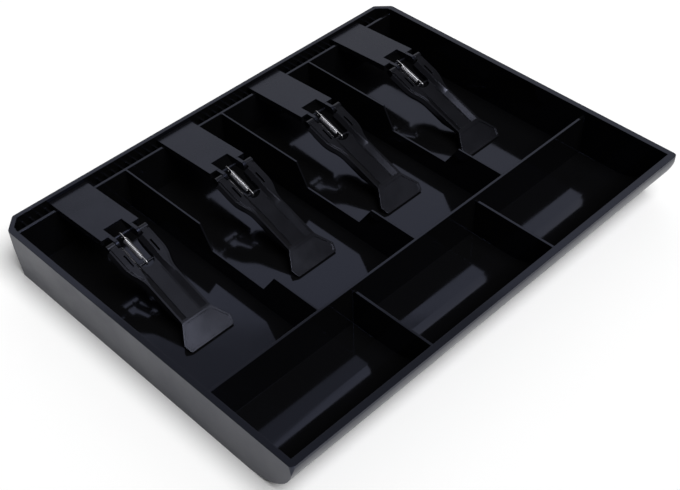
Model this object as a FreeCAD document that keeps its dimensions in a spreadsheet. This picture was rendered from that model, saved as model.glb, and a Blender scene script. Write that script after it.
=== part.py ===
import FreeCAD, Part
import math
import os

import Sketcher

# Cash drawer insert: one moulded tray with four bill compartments and three coin cups, and four
# sprung bill clips that plug into the ribbed channel behind the bill compartments.
#
# Frame, in millimetres: X to the right, Y to the rear, where the clips are, Z up. The origin is the
# centre of the tray's footprint, on the plane that it stands on.

# Driving dimensions: alias, value, what it is
SIZES = (
    ("tray_width", 320.0, "tray across its rim, left to right"),
    ("tray_depth", 245.0, "tray across its rim, front to rear"),
    ("tray_height", 36.0, "underside to rim"),
    ("side_draft", 2.1, "how far each side wall leans in by the underside"),
    ("rear_draft", 1.4, "how far the rear wall leans in by the underside"),
    ("floor_thickness", 3.0, "floor and front scoop"),
    ("side_wall", 3.8, "side wall at the rim"),
    ("front_wall", 4.4, "rim along the front"),
    ("scoop_radius", 39.0, "outside of the curve from the underside up to the front rim"),
    ("lip_height", 2.0, "upright band of the rim above the scoop"),
    ("corner_radius", 2.5, "front corners of the rim, seen from above"),
    ("rear_chamfer", 9.0, "cut across each rear corner, along each side"),
    ("chamfer_softening", 3.0, "rounding at both ends of that cut"),
    ("skirt_depth", 15.0, "rear skirt, down from the rim"),
    ("skirt_thickness", 2.9, "rear skirt"),
    ("channel_width", 5.9, "clip channel, front to rear"),
    ("channel_floor", 2.0, "floor of the clip channel"),
    ("bar_thickness", 2.2, "rear wall of the bill compartments"),
    ("wall_drop", 4.0, "tops of the inner walls, below the rim"),
    ("rib_pitch", 5.4, "ribs in the clip channel"),
    ("rib_thickness", 1.2, "each rib"),
    ("rib_drop", 5.0, "tops of the ribs, below the rim"),
    ("rib_shift", -1.3, "a rib nearest the middle, from the middle"),
    ("divider_pitch", 77.0, "bill dividers, middle to middle"),
    ("divider_thickness", 1.2, "bill dividers"),
    ("notch_depth", 15.5, "finger notch in a bill divider, below its top"),
    ("notch_length", 44.5, "level bottom of the finger notch"),
    ("notch_setback", 45.0, "front end of that level, behind the cross wall"),
    ("notch_rear_slope", 9.0, "how far the rear end of the notch leans back"),
    ("notch_front_slope", 10.0, "how far the front end of the notch leans forward"),
    ("cross_wall_setback", 66.5, "wall behind the coin cups, from the front of the rim"),
    ("cross_wall_thickness", 1.6, "wall behind the coin cups"),
    ("coin_pitch", 102.6, "coin dividers, middle to middle"),
    ("coin_divider_thickness", 1.6, "coin dividers"),
    ("coin_divider_drop", 7.0, "tops of the coin dividers, below the rim"),
    ("edge_rounding", 0.4, "top edges of the bar"),
    ("plate_width", 26.8, "clip plate, left to right"),
    ("plate_thickness", 1.8, "clip plate"),
    ("plate_overhang", 45.8, "clip plate, forward of the compartments' rear wall"),
    ("plate_tilt", 3.1, "rise of the clip plate towards its front, in degrees"),
    ("plate_skirt", 2.2, "stiffening edge under each side of the clip plate"),
    ("comb_depth", 8.0, "comb teeth, below the tops of the inner walls"),
    ("comb_clearance", 0.2, "comb teeth to the channel's walls and ribs"),
    ("prong_gap", 12.9, "opening between the two prongs"),
    ("prong_thickness", 2.15, "each prong, left to right"),
    ("opening_length", 7.4, "opening's rear end, behind the plate's front edge"),
    ("prong_foot", 1.5, "prongs run on behind the opening"),
    ("prong_radius", 2.8, "rounded end of each prong, about the hinge"),
    ("hinge_lead", 5.9, "hinge line, forward of the plate's front edge"),
    ("hinge_drop", 3.0, "hinge line, below the plate's top carried on"),
    ("trunnion_radius", 1.5, "stub axle on each prong"),
    ("trunnion_length", 4.6, "stub axle on each prong"),
    ("hinge_fit", 0.06, "stub axle to its hole, on the radius"),
    ("side_clearance", 0.3, "prong to cheek"),
    ("anchor_setback", 6.1, "rear spring bar, behind the hinge line"),
    ("anchor_drop", 1.8, "rear spring bar, below the hinge line"),
    ("anchor_radius", 0.9, "both spring bars"),
    ("arm_width", 28.5, "clip arm across its head"),
    ("arm_top", 1.9, "top of the head, above the hinge line"),
    ("splay_width", 1.7, "sloping rim along both sides of the arm, seen from above"),
    ("splay_drop", 2.4, "sloping rim, from its upper to its lower edge"),
    ("boss_radius", 2.4, "barrel about the hinge line"),
    ("arm_depth", 4.2, "lower edge of the arm, below the hinge line"),
    ("arm_skin", 1.7, "top skin of the arm"),
    ("arm_side", 1.5, "side walls of the arm"),
    ("cheek_length", 14.5, "hinge line to the end of the head's straight sides"),
    ("boss_run", 8.0, "hinge line to where the arm reaches its full depth"),
    ("neck_start", 32.5, "hinge line to the start of the neck"),
    ("neck_width", 20.5, "neck, the same all along"),
    ("neck_top", 1.2, "top of the neck where it starts, above the hinge line"),
    ("edge_strip", 1.3, "flat strip along both sides of the head and the neck"),
    ("neck_end", 48.0, "hinge line to where the lower edges begin to rise"),
    ("trough_floor", 0.5, "floor of the trough, below the hinge line"),
    ("fork_clearance", 0.8, "ends of the prongs to the arm"),
    ("window_width", 10.6, "spring window"),
    ("window_length", 21.8, "hinge line to the front of the spring window"),
    ("flank_width", 2.4, "slope beside the spring window, seen from above"),
    ("rib_spacing", 9.7, "two raised lines along the arm"),
    ("rib_height", 0.4, "two raised lines along the arm"),
    ("rib_width", 0.7, "two raised lines along the arm"),
    ("rib_start", 25.0, "hinge line to the start of the raised lines"),
    ("slot_spacing", 18.9, "two narrow slots in the cheeks"),
    ("slot_width", 1.2, "two narrow slots in the cheeks"),
    ("slot_start", 9.0, "hinge line to the rear end of the slots"),
    ("slot_length", 8.6, "two narrow slots in the cheeks"),
    ("spring_seat", 17.5, "hinge line to the front spring bar, along the arm"),
    ("seat_drop", 2.8, "front spring bar, below the hinge line"),
    ("paddle_start", 61.5, "hinge line to the bend of the paddle"),
    ("paddle_rise", 1.6, "bend of the paddle, above the hinge line"),
    ("paddle_tilt", 15.5, "bend of the paddle, in degrees"),
    ("paddle_length", 16.3, "bend to tip"),
    ("paddle_thickness", 2.0, "paddle"),
    ("paddle_width", 33.6, "paddle where it is widest"),
    ("paddle_widest", 11.0, "bend to the widest place"),
    ("tip_width", 31.4, "paddle at its tip"),
    ("tip_corner", 1.5, "corners of the tip"),
    ("tip_thickness", 0.9, "edge that presses on the bills"),
    ("tip_relief", 6.0, "thinned stretch of the underside before the tip"),
    ("border_width", 1.2, "raised edge of the paddle"),
    ("border_height", 0.6, "raised edge of the paddle"),
    ("rest_gap", 0.3, "tip to the floor when the clip is empty"),
    ("wire_radius", 0.3, "spring wire"),
    ("coil_radius", 1.6, "spring, to the middle of the wire"),
    ("turn_pitch", 0.66, "spring, one turn to the next"),
    ("loop_radius", 1.5, "loop at each end of the spring, to the middle of the wire"),
    ("loop_reach", 3.5, "middle of a loop to the first turn"),
)

# Which rib each clip stands on, counted from the rib nearest the middle
CLIP_RIBS = {"bill_clip_1": -21, "bill_clip_2": -6, "bill_clip_3": 8, "bill_clip_4": 22}

# Teeth of a clip's comb, one in each gap between the ribs
COMB_TEETH = 4

# Room that a cut takes past the surface it opens, and the stretch of a wall bedded in its neighbour
CUT_PAST = 2.0
BEDDED = 0.5

# How near a place an edge is looked for, and how level it has to be
NEAR = 0.3
FLAT = 0.01

# Grooves between the spring's turns: how deep they reach and how far they open, in wire radii
GROOVE_BED = 0.2
GROOVE_OPENING = 0.9

# Wire between a loop and the coil, against the full wire: it ends inside the loop
NECK_SHARE = 0.9


class Size:
    """A number together with the sheet expression that gives it."""

    def __init__(self, value, text):
        self.value = value
        self.text = text

    @staticmethod
    def of(other):
        return other if isinstance(other, Size) else Size(float(other), f"{float(other):.6f}")

    def joined(self, other, value, sign, swap=False):
        first, second = (other, self) if swap else (self, other)
        return Size(value, f"({first.text} {sign} {second.text})")

    def __add__(self, other):
        other = Size.of(other)
        return self.joined(other, self.value + other.value, "+")

    __radd__ = __add__

    def __sub__(self, other):
        other = Size.of(other)
        return self.joined(other, self.value - other.value, "-")

    def __rsub__(self, other):
        other = Size.of(other)
        return self.joined(other, other.value - self.value, "-", swap=True)

    def __mul__(self, other):
        other = Size.of(other)
        return self.joined(other, self.value * other.value, "*")

    __rmul__ = __mul__

    def __truediv__(self, other):
        other = Size.of(other)
        return self.joined(other, self.value / other.value, "/")

    def __neg__(self):
        return Size(-self.value, f"(0 - {self.text})")


def root(size):
    return Size(math.sqrt(size.value), f"sqrt({size.text})")


def sine(degrees):
    return Size(math.sin(math.radians(degrees.value)), f"sin({degrees.text})")


def cosine(degrees):
    return Size(math.cos(math.radians(degrees.value)), f"cos({degrees.text})")


def angle_of_sine(size):
    return Size(math.degrees(math.asin(size.value)), f"(asin({size.text}) / 1 deg)")


def angle_of_slope(size):
    return Size(math.degrees(math.atan(size.value)), f"(atan({size.text}) / 1 deg)")


def whole(size):
    return Size(float(math.floor(size.value)), f"floor({size.text})")


def make_sheet(doc):
    """Fill the sheet and return its sizes by name."""
    sheet = doc.addObject("Spreadsheet::Sheet", "Sizes")
    sizes = {}
    for row, (alias, value, note) in enumerate(SIZES, start=1):
        sheet.set(f"A{row}", alias)
        sheet.set(f"B{row}", f"{value:g}")
        sheet.setAlias(f"B{row}", alias)
        sheet.set(f"C{row}", note)
        sizes[alias] = Size(value, f"Sizes.{alias}")
    doc.recompute()
    return sizes


class Layout:
    """The places that pieces share, worked out from the driving dimensions."""

    def __init__(self, size):
        self.half_width = size["tray_width"] / 2
        self.front = -(size["tray_depth"] / 2)
        self.rear = size["tray_depth"] / 2
        self.rim = size["tray_height"] * 1
        self.floor = size["floor_thickness"] * 1
        self.wall_top = self.rim - size["wall_drop"]
        self.inner_half = self.half_width - size["side_wall"]
        self.inner_front = self.front + size["front_wall"]
        self.skirt_face = self.rear - size["skirt_thickness"]
        self.bar_rear = self.skirt_face - size["channel_width"]
        self.bar_front = self.bar_rear - size["bar_thickness"]
        self.skirt_foot = self.rim - size["skirt_depth"]
        self.channel_bed = self.skirt_foot + size["channel_floor"]
        self.rib_top = self.rim - size["rib_drop"]
        self.cross_wall = self.front + size["cross_wall_setback"]
        # The scoop's centre: its curve leaves the underside level and meets the lip
        radius = size["scoop_radius"]
        rise = self.rim - size["lip_height"] - radius
        self.scoop_y = self.front + root(radius * radius - rise * rise)
        # The line across each rear corner, as the sum of its distances along X and Y
        self.corner_sum = self.half_width - size["rear_chamfer"] + self.rear
        self.channel_sum = self.corner_sum - size["skirt_thickness"] * math.sqrt(2)
        # The clip's plate lies on the rear edge of the bar and rises towards its front
        tilt = size["plate_tilt"]
        self.plate_slope = sine(tilt) / cosine(tilt)
        self.plate_front = self.bar_rear - size["plate_overhang"]
        self.hinge_y = self.plate_front - size["hinge_lead"]
        self.plate_rise = size["plate_thickness"] / cosine(tilt)
        self.hinge_z = self.plate_top(self.hinge_y) - size["hinge_drop"]
        # The arm hangs down until its tip is just above the floor
        paddle_tilt = size["paddle_tilt"]
        length = size["paddle_length"]
        edge = size["tip_thickness"]
        ahead = size["paddle_start"] + length * cosine(paddle_tilt) - edge * sine(paddle_tilt)
        above = size["paddle_rise"] - length * sine(paddle_tilt) - edge * cosine(paddle_tilt)
        reach = root(ahead * ahead + above * above)
        height = self.hinge_z - self.floor - size["rest_gap"]
        self.arm_tilt = angle_of_sine(height / reach) + angle_of_slope(above / ahead)
        # The spring runs from a bar on the plate to a bar across the arm's window
        self.anchor_y = self.hinge_y + size["anchor_setback"]
        self.anchor_z = self.hinge_z - size["anchor_drop"]
        turn = self.arm_tilt
        seat, drop = size["spring_seat"], size["seat_drop"]
        run = self.anchor_y - self.hinge_y + seat * cosine(turn) - drop * sine(turn)
        fall = self.anchor_z - self.hinge_z + seat * sine(turn) + drop * cosine(turn)
        self.spring_length = root(run * run + fall * fall)
        self.spring_tilt = angle_of_slope(fall / run)

    def plate_bottom(self, y):
        return self.wall_top + (self.bar_rear - y) * self.plate_slope

    def plate_top(self, y):
        return self.plate_bottom(y) + self.plate_rise


class Piece:
    """One sub-part: a body whose features take their sizes from the sheet."""

    def __init__(self, doc, name):
        self.doc = doc
        self.body = doc.addObject("PartDesign::Body", name)
        self.body.Label = name
        self.name = name

    def origin_feature(self, role):
        return next(item for item in self.body.Origin.OriginFeatures if item.Role == role)

    def place(self, x=None, y=None, z=None, tilt=None):
        """Put the body in the tray's frame, turned about X by tilt degrees."""
        about_x = FreeCAD.Rotation(FreeCAD.Vector(1, 0, 0), 0)
        self.body.Placement = FreeCAD.Placement(FreeCAD.Vector(), about_x)
        for axis, value in (("x", x), ("y", y), ("z", z)):
            if value is not None:
                self.body.setExpression(f".Placement.Base.{axis}", value.text)
        if tilt is not None:
            self.body.setExpression(".Placement.Rotation.Angle", tilt.text)

    def sketch(self, name, role, height=None, shift=None, tilt=None):
        """A sketch on one of the body's own planes, height along its normal, shift along its Y."""
        sketch = self.body.newObject("Sketcher::SketchObject", name)
        sketch.AttachmentSupport = [(self.origin_feature(role), "")]
        sketch.MapMode = "FlatFace"
        turned = FreeCAD.Rotation(FreeCAD.Vector(1, 0, 0), 0)
        sketch.AttachmentOffset = FreeCAD.Placement(FreeCAD.Vector(), turned)
        if height is not None:
            sketch.setExpression(".AttachmentOffset.Base.z", height.text)
        if shift is not None:
            sketch.setExpression(".AttachmentOffset.Base.y", shift.text)
        if tilt is not None:
            sketch.setExpression(".AttachmentOffset.Rotation.Angle", tilt.text)
        return sketch

    def feature(self, kind, name, sketch, length, symmetric, flipped):
        """A pad or pocket of the sketch."""
        item = self.body.newObject(kind, name)
        item.Profile = sketch
        item.Type = "Length"
        item.SideType = "Symmetric" if symmetric else "One side"
        item.Reversed = flipped
        item.setExpression("Length", length.text)
        return item

    def pad(self, name, sketch, length, symmetric=True, flipped=False):
        return self.feature("PartDesign::Pad", name, sketch, length, symmetric, flipped)

    def pocket(self, name, sketch, length, symmetric=True, flipped=False):
        """A cut, which has to take something away."""
        self.doc.recompute()
        before = self.body.Shape.Volume
        item = self.feature("PartDesign::Pocket", name, sketch, length, symmetric, flipped)
        self.doc.recompute()
        if not self.body.Shape.Volume < before:
            raise RuntimeError(f"{self.name}: {name} cuts nothing")
        return item

    def turned(self, kind, name, sketch, axis):
        """A full turn of the sketch about an axis, added or cut."""
        item = self.body.newObject(kind, name)
        item.Profile = sketch
        item.ReferenceAxis = axis
        item.Angle = 360
        return item

    def loft(self, name, sections, cut=False):
        """A solid, or a cut, whose straight sides join the sections one after another."""
        self.doc.recompute()
        before = self.body.Shape.Volume
        kind = "SubtractiveLoft" if cut else "AdditiveLoft"
        item = self.body.newObject(f"PartDesign::{kind}", name)
        item.Profile = sections[0]
        item.Sections = [(section, "") for section in sections[1:]]
        item.Ruled = True
        self.doc.recompute()
        after = self.body.Shape.Volume
        if not (after < before if cut else after > before):
            raise RuntimeError(f"{self.name}: {name} changes nothing")
        return item

    def row(self, name, original, role, pitch, count):
        """Copies of a feature in a row along one of the body's axes."""
        pattern = self.body.newObject("PartDesign::LinearPattern", name)
        pattern.Originals = [original]
        pattern.Direction = (self.origin_feature(role), [""])
        pattern.setExpression("Occurrences", count.text)
        pattern.setExpression("Length", (pitch * (count - 1)).text)
        self.body.Tip = pattern
        return pattern

    def fillet(self, name, radius, wanted):
        """Round the edges that wanted() picks."""
        self.doc.recompute()
        shape = self.body.Shape
        names = [f"Edge{i}" for i, edge in enumerate(shape.Edges, start=1) if wanted(edge)]
        if not names:
            raise RuntimeError(f"{self.name}: {name} finds no edge")
        rounded = self.body.Tip
        item = self.body.newObject("PartDesign::Fillet", name)
        item.Base = (rounded, names)
        item.setExpression("Radius", radius.text)
        self.body.Tip = item
        return item


def outline(sketch, corners):
    """Draw a closed outline and bind every corner and radius to the sheet.

    A corner is (x, y), or (x, y, radius) where the stretch to the next corner is an arc: with a
    positive radius it bulges to the right of the way from corner to corner, else to the left.
    """
    first = sketch.GeometryCount
    count = len(corners)
    starts = []
    ends = []
    for number, corner in enumerate(corners):
        here = FreeCAD.Vector(Size.of(corner[0]).value, Size.of(corner[1]).value, 0)
        following = corners[(number + 1) % count]
        there = FreeCAD.Vector(Size.of(following[0]).value, Size.of(following[1]).value, 0)
        if len(corner) == 2:
            sketch.addGeometry(Part.LineSegment(here, there), False)
            starts.append(1)
            ends.append(2)
            continue
        radius = Size.of(corner[2])
        chord = there - here
        side = 1 if radius.value > 0 else -1
        middle = (here + there) * 0.5
        left = FreeCAD.Vector(-chord.y, chord.x, 0).normalize()
        height = math.sqrt(max(radius.value ** 2 - (chord.Length / 2) ** 2, 0))
        centre = middle + left * height * side
        from_here = math.atan2(here.y - centre.y, here.x - centre.x)
        from_there = math.atan2(there.y - centre.y, there.x - centre.x)
        angles = (from_here, from_there) if side > 0 else (from_there, from_here)
        circle = Part.Circle(centre, FreeCAD.Vector(0, 0, 1), abs(radius.value))
        sketch.addGeometry(Part.ArcOfCircle(circle, *angles), False)
        starts.append(1 if side > 0 else 2)
        ends.append(2 if side > 0 else 1)
        index = sketch.addConstraint(Sketcher.Constraint("Radius", first + number, abs(radius.value)))
        sign = radius if side > 0 else -radius
        sketch.setExpression(f"Constraints[{index}]", sign.text)
    for number in range(count):
        after = (number + 1) % count
        end = (first + number, ends[number])
        start = (first + after, starts[after])
        sketch.addConstraint(Sketcher.Constraint("Coincident", *end, *start))
    for number, corner in enumerate(corners):
        for kind, value in (("DistanceX", corner[0]), ("DistanceY", corner[1])):
            value = Size.of(value)
            place = Sketcher.Constraint(kind, -1, 1, first + number, starts[number], value.value)
            index = sketch.addConstraint(place)
            sketch.setExpression(f"Constraints[{index}]", value.text)


def circle(sketch, x, y, radius):
    """Draw a circle bound to the sheet."""
    x, y, radius = Size.of(x), Size.of(y), Size.of(radius)
    centre = FreeCAD.Vector(x.value, y.value, 0)
    number = sketch.addGeometry(Part.Circle(centre, FreeCAD.Vector(0, 0, 1), radius.value))
    for kind, value, places in (("Radius", radius, (number,)),
                                ("DistanceX", x, (-1, 1, number, 3)),
                                ("DistanceY", y, (-1, 1, number, 3))):
        index = sketch.addConstraint(Sketcher.Constraint(kind, *places, value.value))
        sketch.setExpression(f"Constraints[{index}]", value.text)


def box_corners(x_low, y_low, x_high, y_high):
    return [(x_low, y_low), (x_high, y_low), (x_high, y_high), (x_low, y_high)]


def mirrored(corners):
    """The same outline on the other side of X = 0, walked the same way round."""
    return [(-x, y) for x, y in reversed(corners)]


def upright(edge):
    """True for an edge that runs up, or nearly so."""
    box = edge.BoundBox
    return box.ZLength > 4 * max(box.XLength, box.YLength)


def tray_shell(tray, size, at):
    """Floor, side walls, front scoop and the rear block that carries the channel."""
    side = tray.sketch("shell_side", "YZ_Plane")
    lip = at.rim - size["lip_height"]
    outline(side, [
        (at.scoop_y, 0), (at.bar_rear - size["rear_draft"], 0), (at.bar_rear, at.skirt_foot),
        (at.bar_front, at.skirt_foot), (at.bar_front, at.rim), (at.front, at.rim),
        (at.front, lip, size["scoop_radius"]),
    ])
    tray.pad("shell", side, size["tray_width"])
    top = tray.sketch("rear_block_top", "XY_Plane", height=at.skirt_foot)
    chamfer = size["rear_chamfer"]
    outline(top, [
        (-at.half_width, at.bar_front - CUT_PAST), (at.half_width, at.bar_front - CUT_PAST),
        (at.half_width, at.rear - chamfer), (at.half_width - chamfer, at.rear),
        (-at.half_width + chamfer, at.rear), (-at.half_width, at.rear - chamfer),
    ])
    tray.pad("rear_block", top, size["skirt_depth"], symmetric=False)
    draft = tray.sketch("side_draft_end", "XZ_Plane")
    lean = size["side_draft"] / at.rim
    foot = at.half_width - size["side_draft"] - lean * CUT_PAST
    past = at.half_width + CUT_PAST
    wedge = [(foot, -CUT_PAST), (past, -CUT_PAST), (past, at.rim), (at.half_width, at.rim)]
    outline(draft, wedge)
    outline(draft, mirrored(wedge))
    tray.pocket("side_draft_cut", draft, size["tray_depth"] * 3)
    soft = size["chamfer_softening"]

    def rear_corner(edge):
        place = edge.BoundBox.Center
        return upright(edge) and place.y > at.bar_front.value and place.z > at.skirt_foot.value

    tray.fillet("rear_corner_softening", soft, rear_corner)
    corners = tray.sketch("front_corners", "XY_Plane", height=at.rim)
    radius = size["corner_radius"]
    outline(corners, [
        (at.half_width - radius, at.front, radius), (at.half_width, at.front + radius),
        (at.half_width + CUT_PAST, at.front + radius), (at.half_width + CUT_PAST, at.front - CUT_PAST),
        (at.half_width - radius, at.front - CUT_PAST),
    ])
    outline(corners, [
        (-at.half_width, at.front + radius, radius), (-at.half_width + radius, at.front),
        (-at.half_width + radius, at.front - CUT_PAST), (-at.half_width - CUT_PAST, at.front - CUT_PAST),
        (-at.half_width - CUT_PAST, at.front + radius),
    ])
    tray.pocket("front_corner_cut", corners, size["tray_height"] * 3)


def tray_hollows(tray, size, at):
    """The room inside the rim and the clip channel behind it."""
    radius = size["scoop_radius"] - size["floor_thickness"]
    reach = at.scoop_y - at.inner_front
    inner_z = size["scoop_radius"] - root(radius * radius - reach * reach)
    side = tray.sketch("room_side", "YZ_Plane")
    outline(side, [
        (at.scoop_y, at.floor), (at.bar_front, at.floor), (at.bar_front, at.rim + CUT_PAST),
        (at.inner_front, at.rim + CUT_PAST), (at.inner_front, inner_z, radius),
    ])
    tray.pocket("room", side, at.inner_half * 2)
    bar = tray.sketch("bar_top_side", "YZ_Plane")
    outline(bar, box_corners(at.bar_front - CUT_PAST, at.wall_top, at.bar_rear, at.rim + CUT_PAST))
    tray.pocket("bar_top_cut", bar, (at.channel_sum - at.bar_rear) * 2)
    channel = tray.sketch("channel_top", "XY_Plane", height=at.rim)
    outline(channel, [
        (at.bar_rear - at.channel_sum, at.bar_rear), (at.channel_sum - at.bar_rear, at.bar_rear),
        (at.channel_sum - at.skirt_face, at.skirt_face), (at.skirt_face - at.channel_sum, at.skirt_face),
    ])
    tray.pocket("channel", channel, at.rim - at.channel_bed, symmetric=False)


def tray_walls(tray, size, at):
    """Cross wall, dividers and the ribs of the clip channel."""
    half = size["cross_wall_thickness"] / 2
    cross = tray.sketch("cross_wall_side", "YZ_Plane")
    outline(cross, box_corners(at.cross_wall - half, at.floor - BEDDED, at.cross_wall + half, at.wall_top))
    tray.pad("cross_wall", cross, (at.inner_half + BEDDED) * 2)

    bottom = at.wall_top - size["notch_depth"]
    front_low = at.cross_wall + size["notch_setback"]
    rear_low = front_low + size["notch_length"]
    divider = tray.sketch("bill_divider_side", "YZ_Plane", height=-size["divider_pitch"])
    outline(divider, [
        (at.cross_wall, at.floor - BEDDED), (at.bar_front + BEDDED, at.floor - BEDDED),
        (at.bar_front + BEDDED, at.wall_top), (rear_low + size["notch_rear_slope"], at.wall_top),
        (rear_low, bottom), (front_low, bottom),
        (front_low - size["notch_front_slope"], at.wall_top), (at.cross_wall, at.wall_top),
    ])
    first = tray.pad("bill_divider", divider, size["divider_thickness"])
    tray.row("bill_dividers", first, "X_Axis", size["divider_pitch"], Size.of(3))

    top = at.rim - size["coin_divider_drop"]
    radius = size["scoop_radius"] - size["floor_thickness"] / 2
    drop = size["scoop_radius"] - top
    end = at.scoop_y - root(radius * radius - drop * drop)
    coin = tray.sketch("coin_divider_side", "YZ_Plane", height=-(size["coin_pitch"] / 2))
    outline(coin, [
        (at.scoop_y, at.floor / 2), (at.cross_wall, at.floor / 2), (at.cross_wall, top), (end, top, radius),
    ])
    first = tray.pad("coin_divider", coin, size["coin_divider_thickness"])
    tray.row("coin_dividers", first, "X_Axis", size["coin_pitch"], Size.of(2))

    limit = at.channel_sum - at.skirt_face - size["rib_thickness"]
    pitch, shift = size["rib_pitch"], size["rib_shift"]
    to_left = whole((limit + shift) / pitch)
    to_right = whole((limit - shift) / pitch)
    rib = tray.sketch("channel_rib_side", "YZ_Plane", height=shift - pitch * to_left)
    bed = at.channel_bed - BEDDED
    outline(rib, box_corners(at.bar_rear - BEDDED, bed, at.skirt_face + BEDDED, at.rib_top))
    first = tray.pad("channel_rib", rib, size["rib_thickness"])
    tray.row("channel_ribs", first, "X_Axis", pitch, to_left + to_right + 1)


def tray_roundings(tray, size, at):
    """Rounded edges along the bar's top."""
    def bar_top(edge):
        box = edge.BoundBox
        level = box.ZLength < FLAT and abs(box.Center.z - at.wall_top.value) < FLAT
        within = abs(box.Center.x) < at.inner_half.value + size["side_wall"].value / 2
        return level and within and box.YMin > at.bar_front.value - NEAR

    tray.fillet("bar_top_edges", size["edge_rounding"], bar_top)


def make_tray(doc, size, at):
    """The moulded tray."""
    tray = Piece(doc, "tray")
    tray_shell(tray, size, at)
    tray_hollows(tray, size, at)
    tray_walls(tray, size, at)
    tray_roundings(tray, size, at)
    return tray


def make_plate(doc, name, size, at, middle):
    """A clip's plate: it lies on the bar, plugs into the channel and carries the hinge."""
    plate = Piece(doc, f"{name}_plate")
    plate.place(x=middle)
    rear = at.skirt_face - size["comb_clearance"]
    opening_rear = at.plate_front + size["opening_length"]
    half_gap = size["prong_gap"] / 2
    side = plate.sketch("plate_side", "YZ_Plane")
    outline(side, [
        (at.plate_front, at.plate_bottom(at.plate_front)), (rear, at.plate_bottom(rear)),
        (rear, at.plate_top(rear)), (at.plate_front, at.plate_top(at.plate_front)),
    ])
    plate.pad("slab", side, size["plate_width"])
    opening = plate.sketch("opening_top", "XY_Plane", height=at.rim + CUT_PAST)
    outline(opening, box_corners(-half_gap, at.plate_front - CUT_PAST, half_gap, opening_rear))
    plate.pocket("opening", opening, size["tray_height"], symmetric=False)
    plate_edges(plate, size, at)
    plate_prongs(plate, size, at, opening_rear, half_gap)
    plate_comb(plate, size, at, rear)
    return plate


def plate_edges(plate, size, at):
    """Stiffening edges under both sides of the plate, in front of the bar."""
    rear = at.bar_front - size["plate_skirt"]
    thickness = size["plate_thickness"]
    for side, sign in (("left", -1), ("right", 1)):
        middle = (size["plate_width"] - thickness) / 2 * sign
        edge = plate.sketch(f"{side}_edge_side", "YZ_Plane", height=middle)
        outline(edge, [
            (at.plate_front, at.plate_bottom(at.plate_front) - size["plate_skirt"]),
            (rear - size["plate_skirt"], at.plate_bottom(rear) - size["plate_skirt"]),
            (rear, at.plate_bottom(rear)), (rear, at.plate_bottom(rear) + thickness / 2),
            (at.plate_front, at.plate_bottom(at.plate_front) + thickness / 2),
        ])
        plate.pad(f"{side}_edge", edge, thickness)


def plate_prongs(plate, size, at, opening_rear, half_gap):
    """Two upright prongs with stub axles on their outsides and the spring bar between them."""
    radius = size["prong_radius"]
    under = at.hinge_z - radius
    knee = at.anchor_y + radius
    rear = opening_rear + size["prong_foot"]
    for side, sign in (("left", -1), ("right", 1)):
        middle = (half_gap + size["prong_thickness"] / 2) * sign
        prong = plate.sketch(f"{side}_prong_side", "YZ_Plane", height=middle)
        outline(prong, [
            (at.hinge_y, under), (knee, under), (rear, at.plate_bottom(rear) + at.plate_rise / 2),
            (rear, at.plate_top(rear)), (at.hinge_y, at.hinge_z + radius, radius),
            (at.hinge_y - radius, at.hinge_z, radius),
        ])
        plate.pad(f"{side}_prong", prong, size["prong_thickness"])
        length = size["trunnion_length"]
        middle = (half_gap + size["prong_thickness"] + (length - BEDDED) / 2) * sign
        axle = plate.sketch(f"{side}_axle_side", "YZ_Plane", height=middle)
        circle(axle, at.hinge_y, at.hinge_z, size["trunnion_radius"])
        plate.pad(f"{side}_axle", axle, length + BEDDED)
    bar = plate.sketch("spring_bar_side", "YZ_Plane")
    circle(bar, at.anchor_y, at.anchor_z, size["anchor_radius"])
    plate.pad("spring_bar", bar, size["prong_gap"] + BEDDED * 2)


def plate_comb(plate, size, at, rear):
    """Teeth that stand between the ribs of the channel."""
    clearance = size["comb_clearance"]
    front = at.bar_rear + clearance
    low = at.wall_top - size["comb_depth"]
    pitch = size["rib_pitch"]
    tooth = plate.sketch("tooth_side", "YZ_Plane", height=-pitch * (COMB_TEETH - 1) / 2)
    outline(tooth, [
        (front, low), (rear, low), (rear, at.plate_bottom(rear) + at.plate_rise / 2),
        (front, at.plate_bottom(front) + at.plate_rise / 2),
    ])
    first = plate.pad("tooth", tooth, pitch - size["rib_thickness"] - clearance * 2)
    plate.row("teeth", first, "X_Axis", pitch, Size.of(COMB_TEETH))


def s_bend(length, shift):
    """Radius of two equal arcs that carry a line sideways by shift over length."""
    return (length * length + shift * shift) / (shift * 4)


def make_arm(doc, name, size, at, middle):
    """A clip's arm. Its own frame: X along the hinge line, -Y from the hinge to the tip."""
    arm = Piece(doc, f"{name}_arm")
    arm.place(x=middle, y=at.hinge_y, z=at.hinge_z, tilt=at.arm_tilt)
    arm_outside(arm, size)
    arm_trough(arm, size)
    arm_hinge_end(arm, size)
    arm_paddle(arm, size)
    return arm


def side_line(size, inset):
    """One side of the arm seen from above, from the hinge line to the bend, inset from its edge."""
    cheek = size["arm_width"] / 2 - inset
    neck = size["neck_width"] / 2 - inset
    shoulder = -size["cheek_length"]
    waist = -size["neck_start"]
    curve = s_bend(size["neck_start"] - size["cheek_length"], cheek - neck)
    return cheek, neck, shoulder, waist, curve


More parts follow.
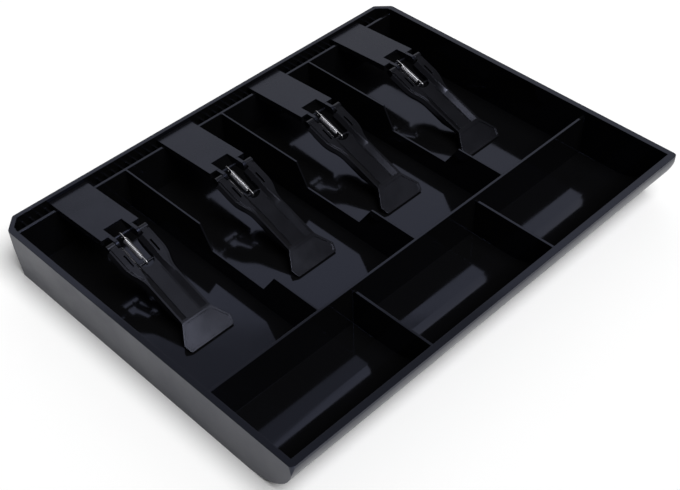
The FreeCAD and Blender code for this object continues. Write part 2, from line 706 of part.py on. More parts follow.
def arm_outside(arm, size):
    """Head and neck as one block with a sloping rim along both sides and rising lower edges."""
    cheek, neck, shoulder, waist, curve = side_line(size, Size.of(0))
    between = (shoulder + waist) / 2
    mean = (cheek + neck) / 2
    bend_y = -size["paddle_start"]
    top = size["arm_top"]
    plan = arm.sketch("arm_plan", "XY_Plane", height=top)
    outline(plan, [
        (cheek, 0), (-cheek, 0), (-cheek, shoulder, curve), (-mean, between, -curve), (-neck, waist),
        (-neck, bend_y), (neck, bend_y), (neck, waist, -curve), (mean, between, curve), (cheek, shoulder),
    ])
    arm.pad("block", plan, top + size["arm_depth"], symmetric=False, flipped=True)
    slope = arm.sketch("top_slope_side", "YZ_Plane")
    outline(slope, [
        (shoulder, top), (shoulder, top + CUT_PAST), (bend_y, top + CUT_PAST),
        (bend_y, size["paddle_rise"]), (waist, size["neck_top"]),
    ])
    arm.pocket("top_slope", slope, size["arm_width"] * 2)
    shelf = arm.sketch("edge_strip_plan", "XY_Plane", height=size["neck_top"])
    inner_cheek, inner_neck, _, _, inner_curve = side_line(size, size["edge_strip"])
    inner_mean = (inner_cheek + inner_neck) / 2
    outline(shelf, [
        (inner_cheek, CUT_PAST), (inner_cheek, shoulder, -inner_curve), (inner_mean, between, inner_curve),
        (inner_neck, waist), (cheek + CUT_PAST, waist), (cheek + CUT_PAST, CUT_PAST),
    ])
    outline(shelf, [
        (-inner_cheek, CUT_PAST), (-cheek - CUT_PAST, CUT_PAST), (-cheek - CUT_PAST, waist),
        (-inner_neck, waist, inner_curve), (-inner_mean, between, -inner_curve), (-inner_cheek, shoulder),
    ])
    arm.pocket("edge_strips", shelf, top, symmetric=False, flipped=True)
    arm_rim(arm, size)
    boss = arm.sketch("boss_side", "YZ_Plane")
    circle(boss, 0, 0, size["boss_radius"])
    arm.pad("boss", boss, size["arm_width"])
    lower = arm.sketch("lower_edge_side", "YZ_Plane")
    under = size["paddle_rise"] - size["paddle_thickness"]
    depth = size["arm_depth"]
    below = -depth - CUT_PAST
    boss_end = -size["boss_run"]
    neck_end = -size["neck_end"]
    outline(lower, [(0, -size["boss_radius"]), (0, below), (boss_end, below), (boss_end, -depth)])
    outline(lower, [(neck_end, -depth), (neck_end, below), (bend_y, below), (bend_y, under)])
    arm.pocket("lower_edge", lower, size["arm_width"] * 2)


def arm_rim(arm, size):
    """The sloping rim: it starts in front of the barrel and fades out at the bend of the paddle."""
    start = -size["boss_radius"]
    bend_y = -size["paddle_start"]
    edge = size["neck_width"] / 2
    sections = []
    for name, below, inset in (("rim_upper_edge", Size.of(0), Size.of(0)),
                               ("rim_lower_edge", size["splay_drop"], -size["splay_width"])):
        cheek, neck, shoulder, waist, curve = side_line(size, inset)
        between = (shoulder + waist) / 2
        mean = (cheek + neck) / 2
        section = arm.sketch(name, "XY_Plane", height=size["neck_top"] - below)
        outline(section, [
            (cheek, start), (-cheek, start), (-cheek, shoulder, curve), (-mean, between, -curve),
            (-neck, waist), (-edge, bend_y), (edge, bend_y), (neck, waist, -curve),
            (mean, between, curve), (cheek, shoulder),
        ])
        sections.append(section)
    arm.loft("sloping_rim", sections)


def arm_trough(arm, size):
    """Between sloping flanks lies a trough, from the prongs to the paddle, with two raised lines."""
    skin = size["arm_skin"]
    floor = -size["trough_floor"]
    foot = (size["rib_spacing"] + size["rib_width"]) / 2
    window = size["window_width"] / 2
    neck_outer = size["neck_width"] / 2 - size["edge_strip"]
    end = size["paddle_start"] - size["arm_side"]
    stations = (
        ("trough_rear", size["prong_radius"], window, window + size["flank_width"], size["arm_top"]),
        ("trough_window_end", size["window_length"], window, window + size["flank_width"], size["arm_top"]),
        ("trough_waist", size["neck_start"], foot, neck_outer, size["neck_top"]),
        ("trough_front", end, foot, neck_outer, size["neck_top"]),
    )
    sections = []
    for name, distance, inner, outer, top in stations:
        section = arm.sketch(name, "XZ_Plane", height=distance)
        outline(section, [(-inner, floor), (inner, floor), (outer, top), (outer, top + CUT_PAST),
                          (-outer, top + CUT_PAST), (-outer, top)])
        sections.append(section)
    arm.loft("trough", sections, cut=True)
    lines = arm.sketch("line_section", "XZ_Plane", height=(size["rib_start"] + end) / 2)
    left = (size["rib_spacing"] - size["rib_width"]) / 2
    ridge = box_corners(left, floor - skin / 2, left + size["rib_width"], floor + size["rib_height"])
    outline(lines, ridge)
    outline(lines, mirrored(ridge))
    arm.pad("raised_lines", lines, end - size["rib_start"])
    start = size["window_length"] + size["arm_side"] * 2
    stop = end - size["arm_side"]
    hollow = arm.sketch("neck_hollow_section", "XZ_Plane", height=(start + stop) / 2)
    wide = size["neck_width"] / 2 - size["arm_side"]
    deep = -size["arm_depth"] - CUT_PAST
    flank = (size["neck_top"] - floor) / (neck_outer - foot)
    under = floor - skin
    beside = under + (wide - foot) * flank
    outline(hollow, [(-wide, deep), (wide, deep), (wide, beside), (foot, under), (-foot, under),
                     (-wide, beside)])
    arm.pocket("neck_hollow", hollow, stop - start)


def arm_hinge_end(arm, size):
    """Room for the prongs, bores, spring window, spring bar, hollow cheeks and their slots."""
    half = size["window_width"] / 2
    prongs = size["prong_gap"] / 2 + size["prong_thickness"] + size["side_clearance"]
    fork = -size["prong_radius"] - size["fork_clearance"]
    front = -size["window_length"]
    top = size["boss_radius"] + CUT_PAST
    through = top + size["arm_depth"] + CUT_PAST
    room = arm.sketch("prong_room_plan", "XY_Plane", height=top)
    outline(room, box_corners(-prongs, fork, prongs, top))
    arm.pocket("prong_room", room, through, symmetric=False)
    window = arm.sketch("window_plan", "XY_Plane", height=top)
    outline(window, [
        (half, fork + CUT_PAST), (-half, fork + CUT_PAST), (-half, front + half, half), (0, front, half),
        (half, front + half),
    ])
    arm.pocket("window", window, through, symmetric=False)
    bore = arm.sketch("bore_side", "YZ_Plane")
    circle(bore, 0, 0, size["trunnion_radius"] + size["hinge_fit"])
    reach = prongs + size["trunnion_length"]
    arm.pocket("bores", bore, reach * 2)
    bar = arm.sketch("spring_bar_side", "YZ_Plane")
    circle(bar, -size["spring_seat"], -size["seat_drop"], size["anchor_radius"])
    arm.pad("spring_bar", bar, size["window_width"] + BEDDED * 2)
    cheek = size["arm_width"] / 2 - size["arm_side"]
    wall = half + size["arm_side"]
    near = fork - size["arm_side"]
    far = -size["slot_start"] - size["slot_length"]
    under = arm.sketch("cheek_hollow_plan", "XY_Plane", height=-size["trough_floor"])
    slots = arm.sketch("slot_plan", "XY_Plane", height=top)
    for sign in (-1, 1):
        inner, outer = (wall, cheek) if sign > 0 else (-cheek, -wall)
        outline(under, box_corners(inner, far, outer, near))
        middle = size["slot_spacing"] / 2 * sign
        half_slot = size["slot_width"] / 2
        outline(slots, box_corners(middle - half_slot, far, middle + half_slot, -size["slot_start"]))
    arm.pocket("cheek_hollows", under, size["arm_depth"] * 2, symmetric=False)
    arm.pocket("slots", slots, through, symmetric=False)


def arm_paddle(arm, size):
    """The bent paddle that presses on the bills."""
    tilt = size["paddle_tilt"]
    bend_y = -size["paddle_start"]
    bend_z = size["paddle_rise"]
    bend = size["neck_width"] / 2
    wide = size["paddle_width"] / 2
    widest = -size["paddle_widest"]
    tip = size["tip_width"] / 2
    end = -size["paddle_length"]
    corner = size["tip_corner"]
    face = arm.sketch("paddle_face", "XY_Plane", height=bend_z, shift=bend_y, tilt=tilt)
    outline(face, [
        (bend, 0), (-bend, 0), (-wide, widest), (-tip, end + corner, corner), (corner - tip, end),
        (tip - corner, end, corner), (tip, end + corner), (wide, widest),
    ])
    arm.pad("paddle", face, size["paddle_thickness"], symmetric=False, flipped=True)
    border = size["border_width"]
    inner = arm.sketch("paddle_recess_face", "XY_Plane", height=bend_z, shift=bend_y, tilt=tilt)
    outline(inner, [
        (bend - border, -border), (border - bend, -border), (border - wide, widest),
        (border - tip, end + corner), (corner - tip, end + border), (tip - corner, end + border),
        (tip - border, end + corner), (wide - border, widest),
    ])
    arm.pocket("paddle_recess", inner, size["border_height"], symmetric=False)

    def place(along, above):
        """A point of the paddle seen from the side: distance from the bend, height above its face."""
        y = bend_y - along * cosine(tilt) - above * sine(tilt)
        return y, bend_z - along * sine(tilt) + above * cosine(tilt)

    length = size["paddle_length"]
    start = length - size["tip_relief"]
    past = length + CUT_PAST
    thick = -size["paddle_thickness"]
    thin = -size["tip_thickness"]
    relief = arm.sketch("tip_relief_side", "YZ_Plane")
    outline(relief, [
        place(start, thick), place(length, thin), place(past, thin), place(past, thick - CUT_PAST),
        place(start, thick - CUT_PAST),
    ])
    arm.pocket("tip_relief_cut", relief, size["arm_width"] * 2)


def make_spring(doc, name, size, at, middle):
    """A clip's wire spring. Its own frame: the plate's spring bar along X, the coil along -Y."""
    spring = Piece(doc, f"{name}_spring")
    spring.place(x=middle, y=at.anchor_y, z=at.anchor_z, tilt=at.spring_tilt)
    wire = size["wire_radius"]
    coil = size["coil_radius"]
    length = at.spring_length
    start = size["loop_reach"]
    turns = whole((length - start * 2) / size["turn_pitch"])
    body = turns * size["turn_pitch"]
    middle_y = -length / 2
    tube = spring.sketch("coil_section", "XZ_Plane", height=length / 2)
    circle(tube, 0, 0, coil + wire)
    circle(tube, 0, 0, coil - wire)
    spring.pad("coil", tube, body)
    groove_y = middle_y - body / 2 + size["turn_pitch"]
    cut = spring.sketch("turn_section", "XY_Plane")
    outline(cut, [
        (coil + wire * GROOVE_BED, groove_y), (coil + wire * 2, groove_y - wire * GROOVE_OPENING),
        (coil + wire * 2, groove_y + wire * GROOVE_OPENING),
    ])
    groove = spring.turned("PartDesign::Groove", "turn", cut, (spring.origin_feature("Y_Axis"), [""]))
    spring.row("turns", groove, "Y_Axis", size["turn_pitch"], turns - 1)
    for end, place in (("rear", Size.of(0)), ("front", -length)):
        ring = spring.sketch(f"{end}_loop_section", "XY_Plane", shift=place)
        circle(ring, 0, size["loop_radius"], wire)
        spring.turned("PartDesign::Revolution", f"{end}_loop", ring, (ring, ["H_Axis"]))
        toward = -1 if end == "rear" else 1
        reach = (length - body) / 2 + size["turn_pitch"]
        neck = spring.sketch(f"{end}_neck_section", "XZ_Plane", height=-place - toward * reach / 2)
        circle(neck, 0, size["loop_radius"], wire * NECK_SHARE)
        spring.pad(f"{end}_neck", neck, reach)
    return spring


def write_parts(doc, pieces):
    """Check every object, then write each sub-part to its own file."""
    for item in doc.Objects:
        if {"Invalid", "Error"} & set(item.State):
            raise RuntimeError(f"{item.Name} is in state {item.State}")
    os.makedirs("parts", exist_ok=True)
    for piece in pieces:
        shape = piece.body.Shape
        if shape.isNull() or not shape.isValid():
            raise RuntimeError(f"{piece.name} has no valid shape")
        shape.exportStep(f"parts/{piece.name}.step")
        print(piece.name, len(shape.Solids), "solid,", round(shape.Volume), "mm3")


def main():
    doc = FreeCAD.newDocument("cash_drawer_insert")
    size = make_sheet(doc)
    at = Layout(size)
    pieces = [make_tray(doc, size, at)]
    for name, rib in CLIP_RIBS.items():
        middle = size["rib_shift"] + size["rib_pitch"] * rib
        for make in (make_plate, make_arm, make_spring):
            pieces.append(make(doc, name, size, at, middle))
    doc.recompute()
    write_parts(doc, pieces)


main()
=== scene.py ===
"""Looks of a cash drawer insert: a moulded black tray with four sprung bill clips.

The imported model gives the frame. Finishes, wound springs, light, floor and camera are made here.
"""

import logging
import math
from dataclasses import dataclass
from enum import Enum

import bpy
import numpy as np
from mathutils import Matrix, Vector

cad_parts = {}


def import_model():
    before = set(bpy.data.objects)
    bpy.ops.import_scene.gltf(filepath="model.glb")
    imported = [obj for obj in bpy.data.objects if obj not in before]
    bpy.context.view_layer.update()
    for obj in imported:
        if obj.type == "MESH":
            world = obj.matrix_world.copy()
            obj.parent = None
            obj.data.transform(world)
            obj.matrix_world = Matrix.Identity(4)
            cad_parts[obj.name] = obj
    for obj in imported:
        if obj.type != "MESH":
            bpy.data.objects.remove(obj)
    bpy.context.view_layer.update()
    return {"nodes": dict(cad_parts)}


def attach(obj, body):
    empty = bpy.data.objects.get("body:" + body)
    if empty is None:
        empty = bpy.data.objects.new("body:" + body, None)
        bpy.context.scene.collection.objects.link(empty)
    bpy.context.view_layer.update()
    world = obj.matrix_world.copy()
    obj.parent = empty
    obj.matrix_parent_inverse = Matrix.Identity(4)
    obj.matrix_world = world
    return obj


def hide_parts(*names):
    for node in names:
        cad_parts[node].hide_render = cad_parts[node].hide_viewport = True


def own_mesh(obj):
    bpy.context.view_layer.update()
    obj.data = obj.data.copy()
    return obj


log = logging.getLogger("scene")

MM = 0.001
METRES_TO_MM = (1 / MM, 1 / MM, 1 / MM)


def linear(hex_colour: str) -> tuple[float, float, float, float]:
    """Turn an sRGB colour into the linear values that a shader takes.

    Args:
        hex_colour: six hexadecimal digits.

    Returns:
        Linear red, green, blue and an alpha of 1.
    """
    channels = [int(hex_colour[i:i + 2], 16) / 255 for i in (0, 2, 4)]
    curved = [c / 12.92 if c <= 0.04045 else ((c + 0.055) / 1.055) ** 2.4 for c in channels]
    return (*curved, 1.0)


def add_node(
    tree: bpy.types.NodeTree,
    kind: str,
    links: dict[str, bpy.types.NodeSocket] | None = None,
    **values: object,
) -> bpy.types.Node:
    """Add one shader node with its settings and links.

    Args:
        tree: the node tree that it goes into.
        kind: the node's type without its ShaderNode prefix.
        links: an input's name to the output that feeds it.
        values: a property of the node, or an input's value under its name with underscores.

    Returns:
        The new node.
    """
    made = tree.nodes.new(f"ShaderNode{kind}")
    for name, value in values.items():
        if hasattr(made, name):
            setattr(made, name, value)
        else:
            made.inputs[name.replace("_", " ")].default_value = value
    for socket, output in (links or {}).items():
        tree.links.new(output, made.inputs[socket])
    return made


def new_material(name: str) -> tuple[bpy.types.Material, bpy.types.NodeTree, bpy.types.Node]:
    """Make an empty material.

    Args:
        name: what the material is called.

    Returns:
        The material, its node tree and its Principled shader.
    """
    made = bpy.data.materials.new(name)
    made.use_nodes = True
    tree = made.node_tree
    return made, tree, next(node for node in tree.nodes if node.type == "BSDF_PRINCIPLED")


def wear(piece: bpy.types.Object, material: bpy.types.Material) -> None:
    """Put one material on a piece in place of what it has.

    Args:
        piece: the piece to dress.
        material: its finish.
    """
    piece.data.materials.clear()
    piece.data.materials.append(material)
    log.info("%s wears %s", piece.name, material.name)


class Surface(Enum):
    """How the mould was finished, with the specular level that the plastic takes from it."""

    POLISHED = 0.5
    SPARK_ERODED = 0.22


@dataclass(frozen=True)
class BlackPlastic:
    """Moulded black ABS: glossy, a little uneven where the melt flowed, blurred where eroded.

    Attributes:
        name: the material's name.
        colour: sRGB base colour; the gloss comes on top of it. It is the plastic's own colour, except on the
            tray's outside, where it is made lighter as painted light.
        sheen_tint: sRGB tint of its reflections, because the black pigment leans to blue.
        roughness: least and most roughness.
        edge_mm: radius that the eye sees on the moulded edges.
        surface: how the mould was finished there.
        flow_per_mm: flow marks per millimetre.
        flow_span: part of the flow noise that runs from least to most roughness.
        grain_mm: width of the eroded grain; the real one is about 0.1 mm, too fine to show.
        grain_depth_mm: depth of the grain.
    """

    name: str
    colour: str
    sheen_tint: str
    roughness: tuple[float, float]
    edge_mm: float
    surface: Surface = Surface.POLISHED
    flow_per_mm: float = 0.03
    flow_span: tuple[float, float] = (0.35, 0.65)
    grain_mm: float = 0.35
    grain_depth_mm: float = 0.012

    def build(self) -> bpy.types.Material:
        """Make the material: flow marks in the gloss, rounded edges, and grain where eroded."""
        made, tree, shader = new_material(self.name)
        place = add_node(tree, "TexCoord")
        scaled = add_node(tree, "Mapping", {"Vector": place.outputs["Object"]}, Scale=METRES_TO_MM)
        flow = add_node(tree, "TexNoise", {"Vector": scaled.outputs[0]},
                        Scale=self.flow_per_mm, Detail=4.0, Roughness=0.6)
        rough = add_node(tree, "MapRange", {"Value": flow.outputs["Fac"]},
                         From_Min=self.flow_span[0], From_Max=self.flow_span[1],
                         To_Min=self.roughness[0], To_Max=self.roughness[1])
        tree.links.new(rough.outputs[0], shader.inputs["Roughness"])
        normal = add_node(tree, "Bevel", samples=6, Radius=self.edge_mm * MM)
        if self.surface is Surface.SPARK_ERODED:
            grain = add_node(tree, "TexNoise", {"Vector": scaled.outputs[0]},
                             Scale=1 / self.grain_mm, Detail=2.0)
            normal = add_node(tree, "Bump", {"Height": grain.outputs["Fac"], "Normal": normal.outputs[0]},
                              Strength=1.0, Distance=self.grain_depth_mm * MM)
        tree.links.new(normal.outputs[0], shader.inputs["Normal"])
        shader.inputs["Base Color"].default_value = linear(self.colour)
        shader.inputs["Specular Tint"].default_value = linear(self.sheen_tint)
        shader.inputs["Specular IOR Level"].default_value = self.surface.value
        return made


@dataclass(frozen=True)
class BrightWire:
    """Zinc-plated steel wire: a bright metal whose gloss varies a little from spot to spot.

    Attributes:
        colour: sRGB colour of the plating.
        roughness: least and most roughness.
        spots_per_mm: duller spots per millimetre.
        spot_span: part of the spot noise that runs from least to most roughness.
    """

    colour: str = "c6c6cb"
    roughness: tuple[float, float] = (0.32, 0.46)
    spots_per_mm: float = 3.0
    spot_span: tuple[float, float] = (0.3, 0.7)

    def build(self) -> bpy.types.Material:
        """Make the material."""
        made, tree, shader = new_material("zinc_plated_wire")
        place = add_node(tree, "TexCoord")
        scaled = add_node(tree, "Mapping", {"Vector": place.outputs["Object"]}, Scale=METRES_TO_MM)
        spots = add_node(tree, "TexNoise", {"Vector": scaled.outputs[0]},
                         Scale=self.spots_per_mm, Detail=3.0)
        rough = add_node(tree, "MapRange", {"Value": spots.outputs["Fac"]},
                         From_Min=self.spot_span[0], From_Max=self.spot_span[1],
                         To_Min=self.roughness[0], To_Max=self.roughness[1])
        tree.links.new(rough.outputs[0], shader.inputs["Roughness"])
        shader.inputs["Base Color"].default_value = linear(self.colour)
        shader.inputs["Metallic"].default_value = 1.0
        return made


@dataclass(frozen=True)
class WoundSpring:
    """One clip's extension spring: close turns of wire with a loop at each end.

    Attributes:
        number: the clip that it belongs to.
        middle_mm: its place along X.
        rear_bar_mm: Y and Z of the spring bar on the clip's plate.
        length_mm: from bar to bar.
        lifted_length_mm: from bar to bar with the clip lifted all the way; not used.
        tilt_degrees: how steeply it falls towards the front.
        wire_mm: radius of the wire.
        coil_mm: radius of the turns, to the middle of the wire.
        loop_mm: radius of the loops, to the middle of the wire.
        loop_degrees: how far a loop goes round its bar.
        reach_mm: from a bar to the first turn.
        turns: how many turns the coil has.
        loop_points: points along a loop.
        neck_points: points along the short stretch between a loop and the coil, both ends included.
        turn_points: points along one turn.
        wire_points: points around the wire.
    """

    number: int
    middle_mm: float
    rear_bar_mm: tuple[float, float] = (68.1, 31.8026)
    length_mm: float = 22.6088
    lifted_length_mm: float = 20.864
    tilt_degrees: float = 17.8799
    wire_mm: float = 0.34
    coil_mm: float = 1.56
    loop_mm: float = 1.5
    loop_degrees: float = 250
    reach_mm: float = 3.7
    turns: int = 15
    loop_points: int = 36
    neck_points: int = 10
    turn_points: int = 20
    wire_points: int = 10

    def path(self) -> tuple[np.ndarray, np.ndarray]:
        """Work out the wire's middle line and its outward direction.

        The coil is a circle about the Y axis whose Y falls evenly with the angle. Each loop is most
        of a circle about its bar, along X. A short stretch joins a loop's top to the coil's top, and
        its height eases from one to the other. Outward is away from the circle's middle, and upward
        on the short stretches. The front end is the rear end mirrored and moved to the other bar.

        Returns:
            Points and unit outward directions, both as rows of X, Y, Z in millimetres.
        """
        around = np.radians(np.linspace(self.loop_degrees, 0, self.loop_points))
        loop_out = np.stack((0 * around, np.sin(around), np.cos(around)), 1)
        loop = loop_out * self.loop_mm
        ease = np.linspace(0, 1, self.neck_points)[1:-1]
        height = self.loop_mm + (self.coil_mm - self.loop_mm) * (3 * ease**2 - 2 * ease**3)
        neck = np.stack((0 * ease, -self.reach_mm * ease, height), 1)
        neck_out = np.stack((0 * ease, 0 * ease, 1 + 0 * ease), 1)
        turn = np.linspace(0, 2 * math.pi * self.turns, self.turns * self.turn_points + 1)
        along = -self.reach_mm - (self.length_mm - 2 * self.reach_mm) * turn / turn[-1]
        coil_out = np.stack((np.sin(turn), 0 * turn, np.cos(turn)), 1)
        coil = coil_out * self.coil_mm + np.stack((0 * turn, along, 0 * turn), 1)
        mirror = np.array((1.0, -1.0, 1.0))
        front = np.array((0.0, -self.length_mm, 0.0))
        points = np.concatenate((loop, neck, coil, neck[::-1] * mirror + front, loop[::-1] * mirror + front))
        outward = np.concatenate((loop_out, neck_out, coil_out, neck_out[::-1], loop_out[::-1] * mirror))
        return points, outward

    def skin(self) -> np.ndarray:
        """Put a ring of points round every point of the path.

        A ring's point is the radius times the cosine of its angle along the outward direction, plus
        the radius times the sine along the direction square to it and the path.

        Returns:
            The points by path point, by place on the ring, and by X, Y, Z in millimetres.
        """
        points, outward = self.path()
        along = np.gradient(points, axis=0)
        along /= np.linalg.norm(along, axis=1, keepdims=True)
        outward = outward - along * np.sum(outward * along, axis=1, keepdims=True)
        outward /= np.linalg.norm(outward, axis=1, keepdims=True)
        across = np.cross(along, outward)
        angle = np.linspace(0, 2 * math.pi, self.wire_points, endpoint=False)[None, :, None]
        ring = outward[:, None] * np.cos(angle) + across[:, None] * np.sin(angle)
        return points[:, None] + self.wire_mm * ring

    def build(self, material: bpy.types.Material) -> bpy.types.Object:
        """Make the spring, tilt it about X and put its rear loop on the plate's bar.

        Args:
            material: the wire's finish.

        Returns:
            The spring's object.
        """
        skin = self.skin()
        rows, columns = skin.shape[:2]
        tilt = math.radians(self.tilt_degrees)
        turned = np.array((
            (1, 0, 0),
            (0, math.cos(tilt), -math.sin(tilt)),
            (0, math.sin(tilt), math.cos(tilt)),
        ))
        placed = skin.reshape(-1, 3) @ turned.T + np.array((self.middle_mm, *self.rear_bar_mm))
        here = np.arange(rows * columns).reshape(rows, columns)
        beside = np.roll(here, -1, axis=1)
        sides = np.stack((here[:-1], here[1:], beside[1:], beside[:-1]), -1).reshape(-1, 4)
        ends = [here[0].tolist(), here[-1][::-1].tolist()]
        mesh = bpy.data.meshes.new(f"clip_{self.number}_wound_spring")
        mesh.from_pydata((placed * MM).tolist(), [], sides.tolist() + ends)
        mesh.polygons.foreach_set("use_smooth", np.ones(len(mesh.polygons), dtype=bool))
        mesh.materials.append(material)
        made = bpy.data.objects.new(mesh.name, mesh)
        bpy.context.scene.collection.objects.link(made)
        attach(made, f"clip_{self.number}_spring")
        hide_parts(f"bill_clip_{self.number}_spring")
        self.shorten(made)
        return made

    def shorten(self, spring: bpy.types.Object) -> None:
        """Give the spring its own copy of its mesh; its length is not changed as the clip is lifted.

        The real spring goes from length_mm to lifted_length_mm over the lift, and between those ends it
        first grows a little longer.

        Args:
            spring: the finished spring.
        """
        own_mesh(spring)


@dataclass(frozen=True)
class CashTray:
    """The moulded tray: polished inside, spark-eroded outside.

    Attributes:
        inside: finish of the compartments, the walls' tops and the rim.
        outside: finish of the outer walls and the underside; its roughness and grain are the real eroded
            finish, its lighter blue-grey base colour is painted light.
        side_from_mm: distance from the middle past which a face can be on an outer side wall.
        front_from_mm: Y in front of which a face can be on the outer front.
        rear_from_mm: Y behind which a face can be on the outer rear.
        outward_least: least share of a face's normal that makes it look outward.
        downward_least: least share of a face's normal that makes it look down.
    """

    inside: BlackPlastic = BlackPlastic("black_abs_tray", "09090a", "c4cfff", (0.06, 0.11), 0.35)
    # The outside's base colour 1e2027 is lighter and bluer than the inside's 09090a: painted light on the
    # outer walls and underside, on top of the real eroded finish.
    outside: BlackPlastic = BlackPlastic(
        "black_abs_tray_outside_painted_lighter", "1e2027", "b4c2ff", (0.28, 0.36), 0.35, Surface.SPARK_ERODED
    )
    side_from_mm: float = 150.0
    front_from_mm: float = -84.0
    rear_from_mm: float = 118.0
    outward_least: float = 0.3
    downward_least: float = 0.5

    def dress(self, nodes: dict[str, bpy.types.Object]) -> None:
        """Give the tray its finishes: faces that look outward or down get the outside one.

        Args:
            nodes: the frame's CAD nodes by name.
        """
        tray = nodes["tray"]
        wear(tray, self.inside.build())
        mesh = tray.data
        mesh.materials.append(self.outside.build())
        places = np.empty(len(mesh.polygons) * 3)
        normals = np.empty(len(mesh.polygons) * 3)
        mesh.polygons.foreach_get("center", places)
        mesh.polygons.foreach_get("normal", normals)
        x, y, _ = places.reshape(-1, 3).T / MM
        across, along, up = normals.reshape(-1, 3).T
        side = (np.abs(x) > self.side_from_mm) & (across * np.sign(x) > self.outward_least)
        front = (y < self.front_from_mm) & (along < -self.outward_least)
        rear = (y > self.rear_from_mm) & (along > self.outward_least)
        # The faces picked here get the outside material, whose lighter blue-grey base colour is painted
        # light.
        outward = side | front | rear | (up < -self.downward_least)
        mesh.polygons.foreach_set("material_index", outward.astype(np.int32))


class BillClips:
    """The four clips: plates, arms and springs.

    Attributes:
        plate_finish: finish of the plates.
        arm_finish: finish of the arms, a little glossier than the plates.
        wire: finish of the springs.
        rib_shift_mm: place along X of the rib that has number 0.
        rib_pitch_mm: from rib to rib in the tray's channel.
        ribs: each clip's number and the number of the rib that it sits on.
    """

    plate_finish = BlackPlastic("black_abs_plate", "0c0c0e", "c4cfff", (0.22, 0.3), 0.25)
    arm_finish = BlackPlastic("black_abs_arm", "0a0a0c", "dde2ff", (0.18, 0.26), 0.25)
    wire = BrightWire()
    rib_shift_mm = -1.3
    rib_pitch_mm = 5.4
    ribs = {1: -21, 2: -6, 3: 8, 4: 22}

    def dress(self, nodes: dict[str, bpy.types.Object]) -> None:
        """Give plates and arms their finishes and build the wound springs.

        Args:
            nodes: the frame's CAD nodes by name.
        """
        plate, arm, wire = self.plate_finish.build(), self.arm_finish.build(), self.wire.build()
        for number, rib in self.ribs.items():
            wear(nodes[f"bill_clip_{number}_plate"], plate)
            wear(nodes[f"bill_clip_{number}_arm"], arm)
            middle = self.rib_shift_mm + self.rib_pitch_mm * rib
            spring = WoundSpring(number, middle).build(wire)
            log.info("%s stands for the clip's plain spring", spring.name)


@dataclass(frozen=True)
class Camera:
    """The photograph's viewpoint, found by fitting the tray's rim.

    Attributes:
        azimuth: degrees around the object, 0 looks along +Y.
        elevation: degrees above the horizon.
        roll: degrees about the line of sight.
        target_mm: the point that the picture's middle looks at.
        distance_mm: camera to target.
        focal_px: focal length in pixels of the picture.
        width_px: width of the picture.
        sensor_mm: width of the film, which only scales the lens.
        clip_start_m: nearest distance that is drawn.
    """

    azimuth: float = -43.965
    elevation: float = 43.912
    roll: float = -1.499
    target_mm: tuple[float, float, float] = (-36.40, -31.33, 36.0)
    distance_mm: float = 686.0
    focal_px: float = 1224.02
    width_px: float = 680.0
    sensor_mm: float = 36.0
    clip_start_m: float = 0.01

    def build(self) -> bpy.types.Object:
        """Make the camera and return its object."""
        az, el = math.radians(self.azimuth), math.radians(self.elevation)
        back = Vector((math.sin(az) * math.cos(el), -math.cos(az) * math.cos(el), math.sin(el)))
        right = Vector((0, 0, 1)).cross(back).normalized()
        up = back.cross(right)
        turn = Matrix((right, up, back)).transposed() @ Matrix.Rotation(math.radians(self.roll), 3, "Z")
        data = bpy.data.cameras.new("camera")
        data.sensor_width = self.sensor_mm
        data.lens = self.focal_px / self.width_px * self.sensor_mm
        data.clip_start = self.clip_start_m
        made = bpy.data.objects.new("camera", data)
        bpy.context.scene.collection.objects.link(made)
        place = Vector(self.target_mm) * MM + back * self.distance_mm * MM
        made.matrix_world = Matrix.Translation(place) @ turn.to_4x4()
        bpy.context.scene.camera = made
        return made


def direction(azimuth: float, elevation: float) -> Vector:
    """Unit vector towards a place in the studio.

    Args:
        azimuth: degrees from +Y towards +X.
        elevation: degrees above the horizon.

    Returns:
        The vector.
    """
    az, el = math.radians(azimuth), math.radians(elevation)
    return Vector((math.sin(az) * math.cos(el), math.cos(az) * math.cos(el), math.sin(el)))


def facing_back(towards: Vector) -> Matrix:
    """Turn a lamp that stands in a direction so that it shines back along it.

    Args:
        towards: unit vector from the object to the lamp.

    Returns:
        The lamp's rotation.
    """
    return towards.to_track_quat("Z", "Y").to_matrix().to_4x4()


@dataclass(frozen=True)
class Softbox:
    """A rectangular softbox that faces the object.

    Attributes:
        name: what it is called.
        azimuth: degrees from +Y towards +X.
        elevation: degrees above the horizon.
        size: width and height in metres.
        radiance: brightness of its face.
        distance: metres from the object.
    """

    name: str
    azimuth: float
    elevation: float
    size: tuple[float, float]
    radiance: float
    distance: float = 2.0

    def build(self) -> bpy.types.Object:
        """Make the lamp and return its object."""
        data = bpy.data.lights.new(self.name, "AREA")
        data.shape = "RECTANGLE"
        data.size, data.size_y = self.size
        data.energy = self.radiance * math.pi * self.size[0] * self.size[1]
        made = bpy.data.objects.new(self.name, data)
        bpy.context.scene.collection.objects.link(made)
        towards = direction(self.azimuth, self.elevation)
        made.matrix_world = Matrix.Translation(towards * self.distance) @ facing_back(towards)
        return made


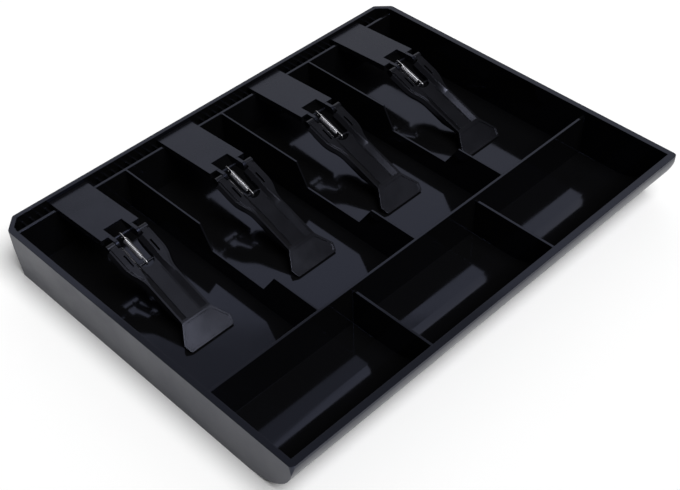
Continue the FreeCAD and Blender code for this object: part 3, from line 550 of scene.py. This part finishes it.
@dataclass(frozen=True)
class Studio:
    """White paper floor, dim surroundings, a big round key lamp and softboxes behind and above.

    The rear panels stand over one another. The gloss of the level faces mirrors them towards the
    camera, and the arms' necks mirror the overhead one.

    Attributes:
        floor_reach: metres from the middle of the floor to its edges.
        paper: sRGB colour of the floor.
        surroundings: brightness of the dim room around; the camera itself sees white.
        key_azimuth: degrees from +Y towards +X.
        key_elevation: degrees above the horizon.
        key_spread: degrees across the key lamp's round face.
        key_strength: light of the key lamp on a surface that faces it.
        softboxes: the panels.
    """

    floor_reach: float = 6.0
    paper: str = "fafafa"
    surroundings: float = 0.08
    key_azimuth: float = 180.0
    key_elevation: float = 62.0
    key_spread: float = 38.0
    key_strength: float = 3.2
    softboxes: tuple[Softbox, ...] = (
        Softbox("rear_panel_low", 43, 24.0, (1.7, 0.85), 0.62),
        Softbox("rear_panel_middle", 43, 42.5, (1.7, 0.46), 0.64),
        Softbox("rear_panel_top", 43, 55.5, (1.7, 0.46), 0.26),
        Softbox("overhead_panel", 93, 79, (1.6, 0.8), 0.36),
    )

    def build(self) -> None:
        """Make floor, world and lamps."""
        bpy.context.scene.view_settings.view_transform = "Standard"
        self.lay_paper()
        self.surround()
        self.hang_key()
        for softbox in self.softboxes:
            softbox.build()

    def lay_paper(self) -> None:
        """Make the square paper floor."""
        reach = self.floor_reach
        corners = [(-reach, -reach, 0), (reach, -reach, 0), (reach, reach, 0), (-reach, reach, 0)]
        mesh = bpy.data.meshes.new("paper_floor")
        mesh.from_pydata(corners, [], [(0, 1, 2, 3)])
        floor = bpy.data.objects.new("paper_floor", mesh)
        bpy.context.scene.collection.objects.link(floor)
        paper, _, shader = new_material("white_paper")
        shader.inputs["Base Color"].default_value = linear(self.paper)
        shader.inputs["Roughness"].default_value = 1.0
        shader.inputs["Specular IOR Level"].default_value = 0.0
        mesh.materials.append(paper)

    def surround(self) -> None:
        """Make the world: white where the camera sees it, dim for everything else."""
        world = bpy.data.worlds.new("studio")
        world.use_nodes = True
        bpy.context.scene.world = world
        tree = world.node_tree
        background = next(node for node in tree.nodes if node.type == "BACKGROUND")
        background.inputs["Color"].default_value = (1, 1, 1, 1)
        path = add_node(tree, "LightPath")
        share = add_node(tree, "MapRange", {"Value": path.outputs["Is Camera Ray"]},
                         To_Min=self.surroundings, To_Max=1.0)
        tree.links.new(share.outputs[0], background.inputs["Strength"])

    def hang_key(self) -> None:
        """Make the key lamp."""
        lamp = bpy.data.lights.new("key", "SUN")
        lamp.angle = math.radians(self.key_spread)
        lamp.energy = self.key_strength
        key = bpy.data.objects.new("key", lamp)
        bpy.context.scene.collection.objects.link(key)
        key.matrix_world = facing_back(direction(self.key_azimuth, self.key_elevation))


def main() -> None:
    """Build the scene."""
    logging.basicConfig(level=logging.INFO)
    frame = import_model()
    CashTray().dress(frame["nodes"])
    BillClips().dress(frame["nodes"])
    Camera().build()
    Studio().build()


if __name__ == "__main__":
    main()
